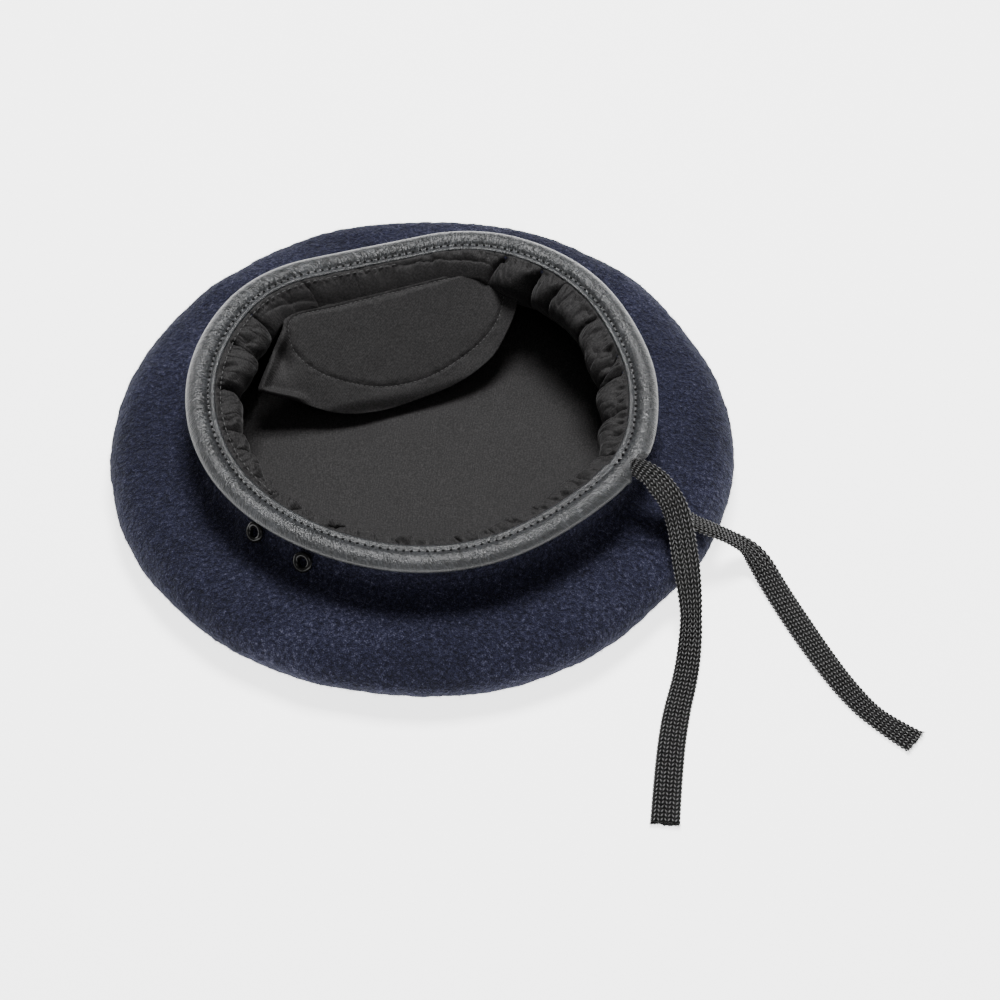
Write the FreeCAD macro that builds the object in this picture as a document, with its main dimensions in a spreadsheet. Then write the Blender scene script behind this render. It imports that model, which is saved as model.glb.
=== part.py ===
"""A felted wool beret lying on its crown: shell, leather binding, drawstring, lining and fittings.

The frame is in millimetres. The origin is under the middle of the crown, on the surface that
the crown rests on. +Z points up, out of the head opening. +X points to the back of the head,
where the drawstring leaves the binding, and +Y to the wearer's left, where the stiffener is.
"""
import FreeCAD, Part
import math
import os

import Sketcher
from FreeCAD import Placement, Rotation, Vector

document = FreeCAD.newDocument("beret")

# ---------------------------------------------------------------- driving dimensions

SIZES = (
    ("crown_radius", 131.0, "crown, widest"),
    ("crown_edge_height", 13.0, "height of the widest line above the surface"),
    ("crown_flat_radius", 112.0, "part of the crown that rests on the surface"),
    ("shoulder_height", 25.5, "felt between the crown's edge and the neck"),
    ("felt_thickness", 2.6, "milled felt"),
    ("rim_radius", 97.2, "outer edge of the binding, round part"),
    ("rim_flat_distance", 87.6, "outer edge of the binding beside the stiffener"),
    ("rim_flat_direction", 134.0, "direction of that flattened side, degrees from +X"),
    ("rim_corner_radius", 58.0, "ends of the flattened side"),
    ("rim_shift", 1.5, "opening's centre behind the crown's centre"),
    ("fold_height", 47.2, "middle of the binding's outer fold"),
    ("binding_width", 12.2, "binding, outer fold to inner edge"),
    ("leather_thickness", 1.0, "binding leather"),
    ("tunnel_half_height", 1.9, "tunnel in the binding, half its inner height"),
    ("lip_setback", 5.6, "felt's turned-out edge in the binding, from the outer fold"),
    ("seam_setback", 10.4, "seam along the binding, from the outer fold"),
    ("lining_thickness", 0.8, "lining with its seam allowances"),
    ("crown_lining_radius", 106.0, "flat piece of the lining"),
    ("lining_bulge", 22.0, "gathered lining hangs this far inside the binding's outer fold"),
    ("lining_bulge_at_flat", 14.0, "the same beside the stiffener"),
    ("cord_width", 11.0, "flat braided drawstring"),
    ("cord_thickness", 2.2, "flat braided drawstring"),
    ("cord_bundle_width", 3.6, "drawstring squeezed into the binding, across"),
    ("cord_bundle_height", 3.0, "drawstring squeezed into the binding, up"),
    ("cord_setback", 3.4, "middle of the drawstring in the binding, from the outer fold"),
    ("cord_gap", 15.0, "gap in the binding's fold that the drawstring leaves by"),
    ("cord_gap_depth", 3.0, "that gap, from the outer fold towards the opening"),
    ("flap_length", 96.0, "stiffener pocket along the opening"),
    ("flap_depth", 49.0, "stiffener pocket, seam to free edge"),
    ("flap_corner_radius", 34.0, "free corners of the stiffener pocket"),
    ("flap_thickness", 2.0, "stiffener pocket with its board"),
    ("flap_slope", 35.0, "the pocket slopes down into the crown by this many degrees"),
    ("flap_seam_distance", 66.5, "pocket's seam from the opening's centre"),
    ("flap_seam_height", 37.0, "pocket's seam above the surface"),
    ("board_margin", 7.0, "stitched fabric border round the board"),
    ("board_thickness", 0.9, "stiffener board"),
    ("board_clearance", 0.1, "round the board in its pocket"),
    ("eyelet_hole_radius", 2.3, "vent eyelet, clear hole"),
    ("eyelet_barrel_radius", 2.8, "vent eyelet, outside of the barrel"),
    ("eyelet_flange_radius", 4.3, "vent eyelet, flange"),
    ("eyelet_flange_height", 1.0, "vent eyelet, flange"),
    ("eyelet_distance", 91.2, "vent eyelets from the opening's centre"),
    ("eyelet_height", 30.6, "vent eyelets above the surface"),
    ("eyelet_tilt", 32.0, "the vent eyelets point up by this many degrees"),
    ("washer_radius", 4.6, "washer that the barrel is set over"),
    ("washer_thickness", 0.6, "washer that the barrel is set over"),
    ("thread_radius", 0.25, "sewing thread"),
)

sheet = document.addObject("Spreadsheet::Sheet", "sizes")
for row, (alias, value, meaning) in enumerate(SIZES, start=1):
    sheet.set(f"A{row}", alias)
    sheet.set(f"B{row}", str(value))
    sheet.setAlias(f"B{row}", alias)
    sheet.set(f"C{row}", meaning)
document.recompute()


def size(alias):
    """A driving dimension, read from the spreadsheet."""
    return float(sheet.get(alias))


RIM_RADIUS = size("rim_radius")
RIM_CENTRE = Vector(size("rim_shift"), 0, 0)
RIM_FLAT = math.radians(size("rim_flat_direction"))
FOLD_HEIGHT = size("fold_height")
FELT = size("felt_thickness")
LEATHER = size("leather_thickness")
LINING = size("lining_thickness")
THREAD = size("thread_radius")
THREAD_SIDES = 8
CLEARANCE = 0.2
RING_POINTS = 40

nodes = []


def add_shape(label, shape, placement=None):
    """A sub-part whose shape comes from Part's own functions."""
    feature = document.addObject("Part::Feature", label)
    feature.Shape = shape.Solids[0]
    feature.Placement = placement or Placement()
    feature.Label = label
    nodes.append(feature)


# ---------------------------------------------------------------- rings round the opening


def rim_radius_at(angle, inset):
    """Distance of the opening's outline from its centre: a circle with one flattened side."""
    turn = abs(math.remainder(angle - RIM_FLAT, 2 * math.pi))
    radius = RIM_RADIUS - inset
    distance = size("rim_flat_distance") - inset
    corner = size("rim_corner_radius") - inset
    corner_offset = radius - corner
    corner_turn = math.acos((distance - corner) / corner_offset)
    if turn >= corner_turn:
        return radius
    if distance * math.tan(turn) <= corner_offset * math.sin(corner_turn):
        return distance / math.cos(turn)
    between = corner_turn - turn
    across = corner_offset * math.sin(between)
    return corner_offset * math.cos(between) + math.sqrt(corner**2 - across**2)


def ring(radius, height, flattening=1.0):
    """Closed curve round the axis: a circle at flattening 0, parallel to the opening at 1."""
    points = []
    for step in range(RING_POINTS):
        angle = 2 * math.pi * step / RING_POINTS
        reach = radius(angle) if callable(radius) else radius
        outline = rim_radius_at(angle, RIM_RADIUS - reach) if flattening else reach
        blended = (1 - flattening) * reach + flattening * outline
        direction = Vector(math.cos(angle), math.sin(angle), 0)
        points.append(RIM_CENTRE * flattening + direction * blended + Vector(0, 0, height))
    curve = Part.BSplineCurve()
    curve.interpolate(Points=points, PeriodicFlag=True)
    return Part.Wire(curve.toShape())


def loft(sections):
    """Solid through rings given as radius, height and flattening."""
    return Part.makeLoft([ring(*section) for section in sections], True, False)


def inside(sections, distance):
    """The same rings moved to the inside of the surface by a distance."""
    moved = []
    for index, (radius, height, flattening) in enumerate(sections):
        before = sections[max(index - 1, 0)]
        after = sections[min(index + 1, len(sections) - 1)]
        along_radius = after[0] - before[0]
        along_height = after[1] - before[1]
        step = distance / math.hypot(along_radius, along_height)
        moved.append((radius - step * along_height, height + step * along_radius, flattening))
    return moved


def thread_section(middle):
    """Eight-sided outline of a sewing thread that runs along Y."""
    corners = []
    for corner in range(THREAD_SIDES + 1):
        turn = math.radians(360 * corner / THREAD_SIDES)
        corners.append(middle + Vector(THREAD * math.cos(turn), 0, THREAD * math.sin(turn)))
    return Part.makePolygon(corners)


def ring_tube(radius, height, flattening=1.0):
    """Sewing thread along a ring."""
    section = thread_section(RIM_CENTRE * flattening + Vector(radius, 0, height))
    return ring(radius, height, flattening).makePipeShell([section], True, False)


# ---------------------------------------------------------------- wool shell

CROWN_RADIUS = size("crown_radius")
EDGE_HEIGHT = size("crown_edge_height")
FLAT_RADIUS = size("crown_flat_radius")
SHOULDER = size("shoulder_height")
NECK_RADIUS = RIM_RADIUS - size("binding_width") + FELT + CLEARANCE
LIP_BOTTOM = FOLD_HEIGHT - size("tunnel_half_height") + CLEARANCE
LIP_RADIUS = RIM_RADIUS - size("lip_setback")
NECK_TOP = LIP_BOTTOM + 0.1


def edge_arc(turns, rise):
    """Rings of the crown's rounded edge, where an ellipse has turned by these many degrees."""
    rings = []
    for turn in turns:
        radius = FLAT_RADIUS + (CROWN_RADIUS - FLAT_RADIUS) * math.cos(math.radians(turn))
        rings.append((radius, EDGE_HEIGHT + rise * math.sin(math.radians(turn)), 0.0))
    return rings


def felt_outside():
    """Outer surface of the felt, from the resting face round the edge and up to the neck."""
    resting = [(FLAT_RADIUS - 12, 0.0, 0.0), (FLAT_RADIUS - 6, 0.0, 0.0)]
    lower_edge = edge_arc((-90, -78, -66, -54, -36, -18, 0), EDGE_HEIGHT)
    upper_edge = edge_arc((18, 36, 54), SHOULDER - EDGE_HEIGHT - 1.0)
    slope = [
        (NECK_RADIUS + 23.5, SHOULDER - 0.9, 0.15),
        (NECK_RADIUS + 13.5, SHOULDER + 0.4, 0.45),
        (NECK_RADIUS + 6.0, SHOULDER + 2.5, 0.85),
        (NECK_RADIUS + 2.6, SHOULDER + 6.2, 1.0),
        (NECK_RADIUS + 0.8, SHOULDER + 11.5, 1.0),
        (NECK_RADIUS, NECK_TOP, 1.0),
    ]
    return resting + lower_edge + upper_edge + slope


def eyelet_placements():
    """Where the vent eyelets go through the neck, with Z pointing out of the felt."""
    places = []
    for direction in (-109.5, -93.6):
        turn = Rotation(Vector(0, 0, 1), direction)
        tilt = Rotation(Vector(0, 1, 0), 90 - size("eyelet_tilt"))
        outward = turn.multVec(Vector(size("eyelet_distance"), 0, 0))
        base = RIM_CENTRE + outward + Vector(0, 0, size("eyelet_height"))
        places.append(Placement(base, turn.multiply(tilt)))
    return places


def eyelet_seat():
    """Felt taken up by one eyelet: the barrel's hole, and flat seats for flange and washer."""
    reach = 6.0
    hole = Part.makeCylinder(size("eyelet_barrel_radius"), 2 * reach, Vector(0, 0, -reach))
    flange_seat = Part.makeCylinder(size("eyelet_flange_radius"), reach)
    washer_seat = Part.makeCylinder(size("washer_radius"), reach, Vector(0, 0, -FELT - reach))
    return hole.fuse([flange_seat, washer_seat])


def make_wool_shell():
    """One seamless piece of felt, with its edge turned out into the binding."""
    outside = felt_outside()
    cavity = inside(outside, FELT)
    cavity[-1] = (NECK_RADIUS - FELT, NECK_TOP, 1.0)
    above_surface = Part.makeCylinder(2 * CROWN_RADIUS, 2 * FOLD_HEIGHT)
    shell = loft(outside).cut(loft(cavity)).common(above_surface)
    lip = Part.Face(ring(LIP_RADIUS, LIP_BOTTOM)).cut(Part.Face(ring(NECK_RADIUS - FELT, LIP_BOTTOM)))
    shell = shell.fuse(lip.extrude(Vector(0, 0, FELT)))
    for place in eyelet_placements():
        seat = eyelet_seat()
        seat.Placement = place
        shell = shell.cut(seat)
    return shell.Solids[0]


add_shape("wool_shell", make_wool_shell())

# ---------------------------------------------------------------- leather binding

BINDING_INNER = -size("binding_width")
BINDING_TOP_AT_SEAM = 2.3
TUNNEL = size("tunnel_half_height")
CORD_GAP = size("cord_gap")


def smooth_edge(points):
    """Edge through points given as distance from the outer fold and height from its middle."""
    curve = Part.BSplineCurve()
    fold = RIM_CENTRE + Vector(RIM_RADIUS, 0, FOLD_HEIGHT)
    curve.interpolate([fold + Vector(out, 0, up) for out, up in points])
    return curve.toShape()


def binding_section():
    """The folded strip, cut across: top layer, rounded fold with the tunnel, bottom layer."""
    over = TUNNEL + LEATHER
    outer = [(BINDING_INNER, 2.1), (-8.5, 2.4), (-4.6, over), (-1.6, 2.2), (0, 0)]
    outer += [(-1.3, -2.0), (-3.6, -over), (-6.5, -over), (-9.0, -over)]
    inner = [(-9.0, -TUNNEL), (-6.5, -TUNNEL), (-3.7, -TUNNEL), (-2.0, -1.3), (-1.0, 0)]
    inner += [(-2.3, 1.4), (-4.7, TUNNEL), (-8.5, 1.4), (BINDING_INNER, 1.2)]
    outer_edge = smooth_edge(outer)
    inner_edge = smooth_edge(inner)
    ends = [
        Part.LineSegment(outer_edge.Vertexes[-1].Point, inner_edge.Vertexes[0].Point).toShape(),
        Part.LineSegment(inner_edge.Vertexes[-1].Point, outer_edge.Vertexes[0].Point).toShape(),
    ]
    return Part.Wire([outer_edge, ends[0], inner_edge, ends[1]])


def make_binding():
    """Leather strip folded round the felt's edge, open at the back where the drawstring leaves."""
    strip = ring(RIM_RADIUS, FOLD_HEIGHT).makePipeShell([binding_section()], True, False)
    gap_inner = RIM_RADIUS - size("cord_gap_depth")
    gap_floor = FOLD_HEIGHT - TUNNEL - LEATHER / 2
    corner = RIM_CENTRE + Vector(gap_inner, -CORD_GAP / 2, gap_floor)
    return strip.cut(Part.makeBox(10, CORD_GAP, 10, corner))


add_shape("leather_binding", make_binding())


def make_topstitch():
    """Thread of the seam along the binding's inner edge."""
    radius = RIM_RADIUS - size("seam_setback")
    return ring_tube(radius, FOLD_HEIGHT + BINDING_TOP_AT_SEAM + THREAD)


add_shape("binding_topstitch", make_topstitch())

# ---------------------------------------------------------------- lining

CROWN_LINING_RADIUS = size("crown_lining_radius")
CROWN_LINING_HEIGHT = FELT + CLEARANCE
FLAT_HALF_WIDTH = 42
FLAT_EASING = 24


def lining_reach(share):
    """Radius of the gathered lining, by the share of its bulge into the opening.

    It bulges less beside the flattened side, which covers this many degrees each way."""
    start = size("binding_width") + 0.5
    full = size("lining_bulge") - start
    at_flat = size("lining_bulge_at_flat") - start

    def radius(angle):
        turn = abs(math.degrees(math.remainder(angle - RIM_FLAT, 2 * math.pi)))
        away = min(max((turn - FLAT_HALF_WIDTH) / FLAT_EASING, 0), 1)
        eased = away * away * (3 - 2 * away)
        return RIM_RADIUS - start - share * (at_flat + (full - at_flat) * eased)

    return radius


def lining_rings(moved):
    """Rings of the gathered lining from its seam with the crown piece up to the binding."""
    lower = [
        (CROWN_LINING_RADIUS - 0.5, CROWN_LINING_HEIGHT + LINING + 0.6, 0.0),
        (CROWN_LINING_RADIUS - 3, CROWN_LINING_HEIGHT + 3.0, 0.0),
        (96, 8.0, 0.1),
        (87, 13.5, 0.4),
    ]
    upper = [(1.0, 21.0), (1.15, 27.0), (1.0, 33.5), (0.65, 39.0), (0.25, 43.6), (0, FOLD_HEIGHT + 1.2)]
    rings = [(radius - moved, height - moved, flattening) for radius, height, flattening in lower]
    for share, height in upper:
        reach = lining_reach(share)
        rings.append((lambda angle, reach=reach: reach(angle) - moved, height, 1.0))
    return rings


def make_side_lining():
    """Gathered strip of lining between the binding and the flat crown piece."""
    outer = lining_rings(0)
    inner = lining_rings(LINING)
    return loft(outer).cut(loft(inner))


add_shape("side_lining", make_side_lining())

# ---------------------------------------------------------------- helpers for sketched pieces


def plane_of(body, role):
    """One of a body's own origin planes."""
    return next(item for item in body.Origin.OriginFeatures if item.Role == role)


def add_body(label):
    """A sub-part built from sketches and features."""
    body = document.addObject("PartDesign::Body", label)
    body.Label = label
    nodes.append(body)
    return body


def add_sketch(body, name, role, height=0.0):
    """A sketch on one of the body's origin planes, moved along its normal."""
    sketch = body.newObject("Sketcher::SketchObject", name)
    sketch.AttachmentSupport = [(plane_of(body, role), "")]
    sketch.MapMode = "FlatFace"
    sketch.AttachmentOffset = Placement(Vector(0, 0, height), Rotation())
    return sketch


def bind(sketch, kind, elements, name, value, expression):
    """A named dimension of a sketch, taken from the spreadsheet."""
    index = sketch.addConstraint(Sketcher.Constraint(kind, *elements, value))
    sketch.renameConstraint(index, name)
    sketch.setExpression(f"Constraints.{name}", expression)


def bound_circle(sketch, alias):
    """A circle about the sketch's origin with its radius from the spreadsheet."""
    outline = Part.Circle(Vector(0, 0, 0), Vector(0, 0, 1), size(alias))
    circle = sketch.addGeometry(outline, False)
    sketch.addConstraint(Sketcher.Constraint("Coincident", circle, 3, -1, 1))
    bind(sketch, "Radius", [circle], alias, size(alias), f"sizes.{alias}")


def pad(body, sketch, expression):
    """The sketch made solid, with its length from the spreadsheet."""
    feature = body.newObject("PartDesign::Pad", f"{body.Name}_pad")
    feature.Profile = sketch
    feature.setExpression("Length", expression)


# ---------------------------------------------------------------- flat crown piece of the lining


def make_crown_lining():
    """Round piece of lining over the inside of the crown."""
    body = add_body("crown_lining")
    sketch = add_sketch(body, "crown_lining_outline", "XY_Plane")
    bound_circle(sketch, "crown_lining_radius")
    pad(body, sketch, "sizes.lining_thickness")
    body.Placement = Placement(Vector(0, 0, CROWN_LINING_HEIGHT), Rotation())


def make_lining_seam():
    """Thread of the seam between the two pieces of the lining."""
    seam_allowance = 2.5
    height = CROWN_LINING_HEIGHT + LINING + THREAD
    return ring_tube(CROWN_LINING_RADIUS - seam_allowance, height, 0.0)


make_crown_lining()
add_shape("lining_seam_thread", make_lining_seam())

# ---------------------------------------------------------------- stiffener in its pocket


def flap_placement(lift):
    """Pocket's seam line as X, down its slope as Y; lift is the height above its underside."""
    towards_middle = Rotation(Vector(0, 0, 1), size("rim_flat_direction") + 90)
    slope = Rotation(Vector(1, 0, 0), -size("flap_slope"))
    seam = towards_middle.multVec(Vector(0, -size("flap_seam_distance"), 0))
    rotation = towards_middle.multiply(slope)
    base = RIM_CENTRE + seam + Vector(0, 0, size("flap_seam_height"))
    return Placement(base + rotation.multVec(Vector(0, 0, lift)), rotation)


def flap_outline(sketch, seam_margin, margin):
    """Straight seam, straight ends and two rounded free corners, drawn inside by the margins."""
    half = size("flap_length") / 2 - margin
    depth = size("flap_depth") - margin
    corner = size("flap_corner_radius") - margin
    up = Vector(0, 0, 1)
    right = Part.Circle(Vector(half - corner, depth - corner, 0), up, corner)
    left = Part.Circle(Vector(corner - half, depth - corner, 0), up, corner)
    pieces = [
        Part.LineSegment(Vector(-half, seam_margin, 0), Vector(half, seam_margin, 0)),
        Part.LineSegment(Vector(half, seam_margin, 0), Vector(half, depth - corner, 0)),
        Part.ArcOfCircle(right, 0, math.pi / 2),
        Part.LineSegment(Vector(half - corner, depth, 0), Vector(corner - half, depth, 0)),
        Part.ArcOfCircle(left, math.pi / 2, math.pi),
        Part.LineSegment(Vector(-half, depth - corner, 0), Vector(-half, seam_margin, 0)),
    ]
    seam, right_end, right_arc, free, left_arc, left_end = sketch.addGeometry(pieces, False)
    for before, after in ((right_end, right_arc), (right_arc, free), (free, left_arc), (left_arc, left_end)):
        sketch.addConstraint(Sketcher.Constraint("Tangent", before, 2, after, 1))
    sketch.addConstraint(Sketcher.Constraint("Coincident", seam, 2, right_end, 1))
    sketch.addConstraint(Sketcher.Constraint("Coincident", left_end, 2, seam, 1))
    sketch.addConstraint(Sketcher.Constraint("Symmetric", seam, 1, seam, 2, -2))
    sketch.addConstraint(Sketcher.Constraint("Vertical", right_end))
    sketch.addConstraint(Sketcher.Constraint("Vertical", left_end))
    sketch.addConstraint(Sketcher.Constraint("Horizontal", free))
    sketch.addConstraint(Sketcher.Constraint("Equal", right_arc, left_arc))
    bind(sketch, "DistanceX", [seam, 1, seam, 2], "along", 2 * half, f"sizes.flap_length - {2 * margin}")
    bind(sketch, "DistanceY", [-1, 1, free, 1], "down", depth, f"sizes.flap_depth - {margin}")
    bind(sketch, "Radius", [right_arc], "corner", corner, f"sizes.flap_corner_radius - {margin}")
    if seam_margin:
        sketch.addConstraint(Sketcher.Constraint("DistanceY", -1, 1, seam, 1, seam_margin))
    else:
        sketch.addConstraint(Sketcher.Constraint("PointOnObject", seam, 1, -1))


BOARD_SEAM_MARGIN = 2.0
POCKET_MOUTH = -1.0
BOARD_MARGIN = size("board_margin")
BOARD_GAP = size("board_clearance")


def make_stiffener_pocket():
    """Fabric pocket, sewn along its seam and open there for the board."""
    body = add_body("stiffener_pocket")
    outline = add_sketch(body, "pocket_outline", "XY_Plane")
    flap_outline(outline, 0, 0)
    pad(body, outline, "sizes.flap_thickness")
    floor = (size("flap_thickness") - size("board_thickness")) / 2 - BOARD_GAP
    inner = add_sketch(body, "pocket_inside", "XY_Plane", floor)
    flap_outline(inner, POCKET_MOUTH, BOARD_MARGIN - BOARD_GAP)
    document.recompute()
    solid_volume = body.Shape.Volume
    cut = body.newObject("PartDesign::Pocket", "pocket_room")
    cut.Profile = inner
    cut.Reversed = True
    cut.setExpression("Length", "sizes.board_thickness + 2 * sizes.board_clearance")
    document.recompute()
    assert body.Shape.Volume < solid_volume, "the pocket's inside wasn't cut"
    body.Placement = flap_placement(0)


def make_stiffener_board():
    """Stiff board that carries a badge, inside the pocket."""
    body = add_body("stiffener_board")
    outline = add_sketch(body, "board_outline", "XY_Plane")
    flap_outline(outline, BOARD_SEAM_MARGIN, BOARD_MARGIN)
    pad(body, outline, "sizes.board_thickness")
    lift = (size("flap_thickness") - size("board_thickness")) / 2
    body.Placement = flap_placement(lift)


def make_pocket_topstitch():
    """Thread round the pocket's border, which keeps the board in its place."""
    margin = BOARD_MARGIN - 1.5
    seam_start = 3
    half = size("flap_length") / 2 - margin
    depth = size("flap_depth") - margin
    corner = size("flap_corner_radius") - margin
    height = size("flap_thickness") + THREAD
    diagonal = corner * (1 - math.sqrt(0.5))
    edges = [
        Part.LineSegment(Vector(half, seam_start, height), Vector(half, depth - corner, height)),
        Part.Arc(
            Vector(half, depth - corner, height),
            Vector(half - diagonal, depth - diagonal, height),
            Vector(half - corner, depth, height),
        ),
        Part.LineSegment(Vector(half - corner, depth, height), Vector(corner - half, depth, height)),
        Part.Arc(
            Vector(corner - half, depth, height),
            Vector(diagonal - half, depth - diagonal, height),
            Vector(-half, depth - corner, height),
        ),
        Part.LineSegment(Vector(-half, depth - corner, height), Vector(-half, seam_start, height)),
    ]
    path = Part.Wire([edge.toShape() for edge in edges])
    return path.makePipeShell([thread_section(Vector(half, seam_start, height))], True, False)


make_stiffener_pocket()
make_stiffener_board()
add_shape("pocket_topstitch", make_pocket_topstitch(), flap_placement(0))

# ---------------------------------------------------------------- vent eyelets


def revolve_profile(body, sketch, corners):
    """Closed profile in the XZ plane, turned about the body's Z axis."""
    for start, end in zip(corners, corners[1:] + corners[:1]):
        sketch.addGeometry(Part.LineSegment(Vector(*start, 0), Vector(*end, 0)), False)
    for index in range(len(corners)):
        following = (index + 1) % len(corners)
        sketch.addConstraint(Sketcher.Constraint("Coincident", index, 2, following, 1))
    feature = body.newObject("PartDesign::Revolution", f"{body.Name}_turned")
    feature.Profile = sketch
    feature.ReferenceAxis = (sketch, ["V_Axis"])
    feature.Angle = 360


def make_eyelet(label, place):
    """Eyelet: a flange on the felt, and a barrel rolled over inside on its washer."""
    body = add_body(label)
    sketch = add_sketch(body, f"{label}_profile", "XZ_Plane")
    hole = size("eyelet_hole_radius")
    barrel = size("eyelet_barrel_radius")
    flange = size("eyelet_flange_radius")
    rise = size("eyelet_flange_height")
    seat = -FELT - size("washer_thickness")
    corners = [
        (hole, 0.4 * rise), (hole + 0.4, rise), (flange - 0.9, rise), (flange, 0.3 * rise), (flange, 0),
        (barrel, 0), (barrel, seat), (barrel + 0.9, seat), (barrel + 0.6, seat - 0.7), (hole, seat - 0.7),
    ]
    revolve_profile(body, sketch, corners)
    body.Placement = place


def make_washer(label, place):
    """Flat washer inside the felt, which the eyelet's barrel is set over."""
    body = add_body(label)
    sketch = add_sketch(body, f"{label}_outline", "XY_Plane", -FELT - size("washer_thickness"))
    bound_circle(sketch, "washer_radius")
    bound_circle(sketch, "eyelet_barrel_radius")
    pad(body, sketch, "sizes.washer_thickness")
    body.Placement = place


for side, place in zip(("front", "rear"), eyelet_placements()):
    make_eyelet(f"vent_eyelet_{side}", place)
    make_washer(f"vent_washer_{side}", place)

# ---------------------------------------------------------------- drawstring

CORD_WIDTH = size("cord_width")
CORD_THICKNESS = size("cord_thickness")

RIGHT_TAIL = (
    (96.6, 0.0, 48.9),
    (101.6, -0.6, 49.5),
    (106.8, -1.6, 48.3),
    (112.0, -2.6, 44.8),
    (117.6, -4.0, 39.6),
    (123.0, -8.6, 33.2),
    (128.2, -15.6, 27.0),
    (133.6, -22.8, 20.0),
    (138.4, -29.8, 11.4),
    (142.4, -38.6, 4.4),
    (147.3, -53.5, 1.4),
    (151.7, -73.4, 1.4),
    (159.7, -97.2, 1.4),
    (169.4, -121.6, 1.4),
)
LEFT_TAIL = (
    (96.6, 0.0, 46.6),
    (101.8, 0.4, 45.4),
    (107.2, 0.4, 41.8),
    (112.6, 0.0, 36.4),
    (118.4, -0.2, 30.8),
    (124.8, 1.2, 26.4),
    (131.4, 5.0, 21.6),
    (137.6, 9.6, 15.4),
    (143.8, 13.2, 8.8),
    (150.6, 12.2, 4.0),
    (158.4, 6.2, 1.6),
    (172.4, -5.4, 1.4),
    (190.6, -19.6, 1.4),
    (207.6, -31.4, 1.4),
    (223.6, -39.6, 1.4),
    (240.4, -42.5, 1.4),
)


def cord_path(label, route):
    """Straight runs joined by the largest tangent arcs that they leave room for."""
    points = [Vector(*point) for point in route]
    edges = []
    start = points[0]
    radii = []
    for before, corner, after in zip(points, points[1:], points[2:]):
        arriving = (corner - before).normalize()
        leaving = (after - corner).normalize()
        turn = arriving.getAngle(leaving)
        shorter = min((corner - before).Length, (after - corner).Length)
        cut = 0.45 * shorter
        radii.append(cut / math.tan(turn / 2))
        entry = corner - arriving * cut
        leave = corner + leaving * cut
        inward = (leaving - arriving).normalize()
        middle = corner + inward * (radii[-1] / math.cos(turn / 2) - radii[-1])
        edges.append(Part.LineSegment(start, entry).toShape())
        edges.append(Part.Arc(entry, middle, leave).toShape())
        start = leave
    edges.append(Part.LineSegment(start, points[-1]).toShape())
    path = Part.Wire(edges)
    print(f"{label}: {path.Length:.1f} mm, arc radii", " ".join(f"{radius:.0f}" for radius in radii))
    return path


def cord_section(place, onward):
    """Flat cord cut across, square to its direction: level, with rounded edges."""
    across = Vector(0, 0, 1).cross(onward).normalize()
    up = onward.cross(across).normalize()
    half = (CORD_WIDTH - CORD_THICKNESS) / 2
    lift = CORD_THICKNESS / 2
    right, left = place + across * half, place - across * half
    edges = [
        Part.LineSegment(left + up * lift, right + up * lift),
        Part.Arc(right + up * lift, right + across * lift, right - up * lift),
        Part.LineSegment(right - up * lift, left - up * lift),
        Part.Arc(left - up * lift, left - across * lift, left + up * lift),
    ]
    return Part.Wire([edge.toShape() for edge in edges])


def make_tail(label, route):
    """One free end of the drawstring, level across all along its path."""
    path = cord_path(label, route)
    sections = []
    for edge in path.Edges:
        is_arc = isinstance(edge.Curve, Part.Circle)
        for share in (0, 1 / 3, 2 / 3) if is_arc else (0,):
            place = edge.FirstParameter + share * (edge.LastParameter - edge.FirstParameter)
            sections.append(cord_section(edge.valueAt(place), edge.tangentAt(place)))
    last = path.Edges[-1]
    sections.append(cord_section(last.valueAt(last.LastParameter), last.tangentAt(last.LastParameter)))
    tail = Part.makeLoft(sections, True, True)
    expected = Part.Face(sections[0]).Area * path.Length
    print(f"{label}: volume is {tail.Volume / expected:.3f} of its section times its length")
    return tail


def make_drawstring_run():
    """The drawstring's hidden length, squeezed into the binding's tunnel all the way round."""
    radius = RIM_RADIUS - size("cord_setback")
    height = FOLD_HEIGHT - CLEARANCE / 2
    centre = RIM_CENTRE + Vector(radius, 0, height)
    oval = Part.Ellipse(centre, size("cord_bundle_width") / 2, size("cord_bundle_height") / 2).toShape()
    oval.rotate(centre, Vector(1, 0, 0), 90)
    loop = ring(radius, height).makePipeShell([Part.Wire(oval)], True, False)
    opening = Part.makeBox(20, CORD_GAP, 10, centre - Vector(10, CORD_GAP / 2, 5))
    return loop.cut(opening)


add_shape("drawstring_in_binding", make_drawstring_run())
add_shape("drawstring_tail_right", make_tail("drawstring_tail_right", RIGHT_TAIL))
add_shape("drawstring_tail_left", make_tail("drawstring_tail_left", LEFT_TAIL))

# ---------------------------------------------------------------- check and write

document.recompute()
for item in document.Objects:
    if {"Invalid", "Error"} & set(item.State):
        raise RuntimeError(f"{item.Label} failed: {item.State}")

os.makedirs("parts", exist_ok=True)
for node in nodes:
    shape = node.Shape
    if shape.isNull() or not shape.isValid() or not shape.Solids:
        raise RuntimeError(f"{node.Label} has no valid solid")
    shape.exportStep(f"parts/{node.Label}.step")
print(len(nodes), "sub-parts written")
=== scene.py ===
"""Looks of a felted wool beret that lies on its crown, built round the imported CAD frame."""

import itertools
import math

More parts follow.
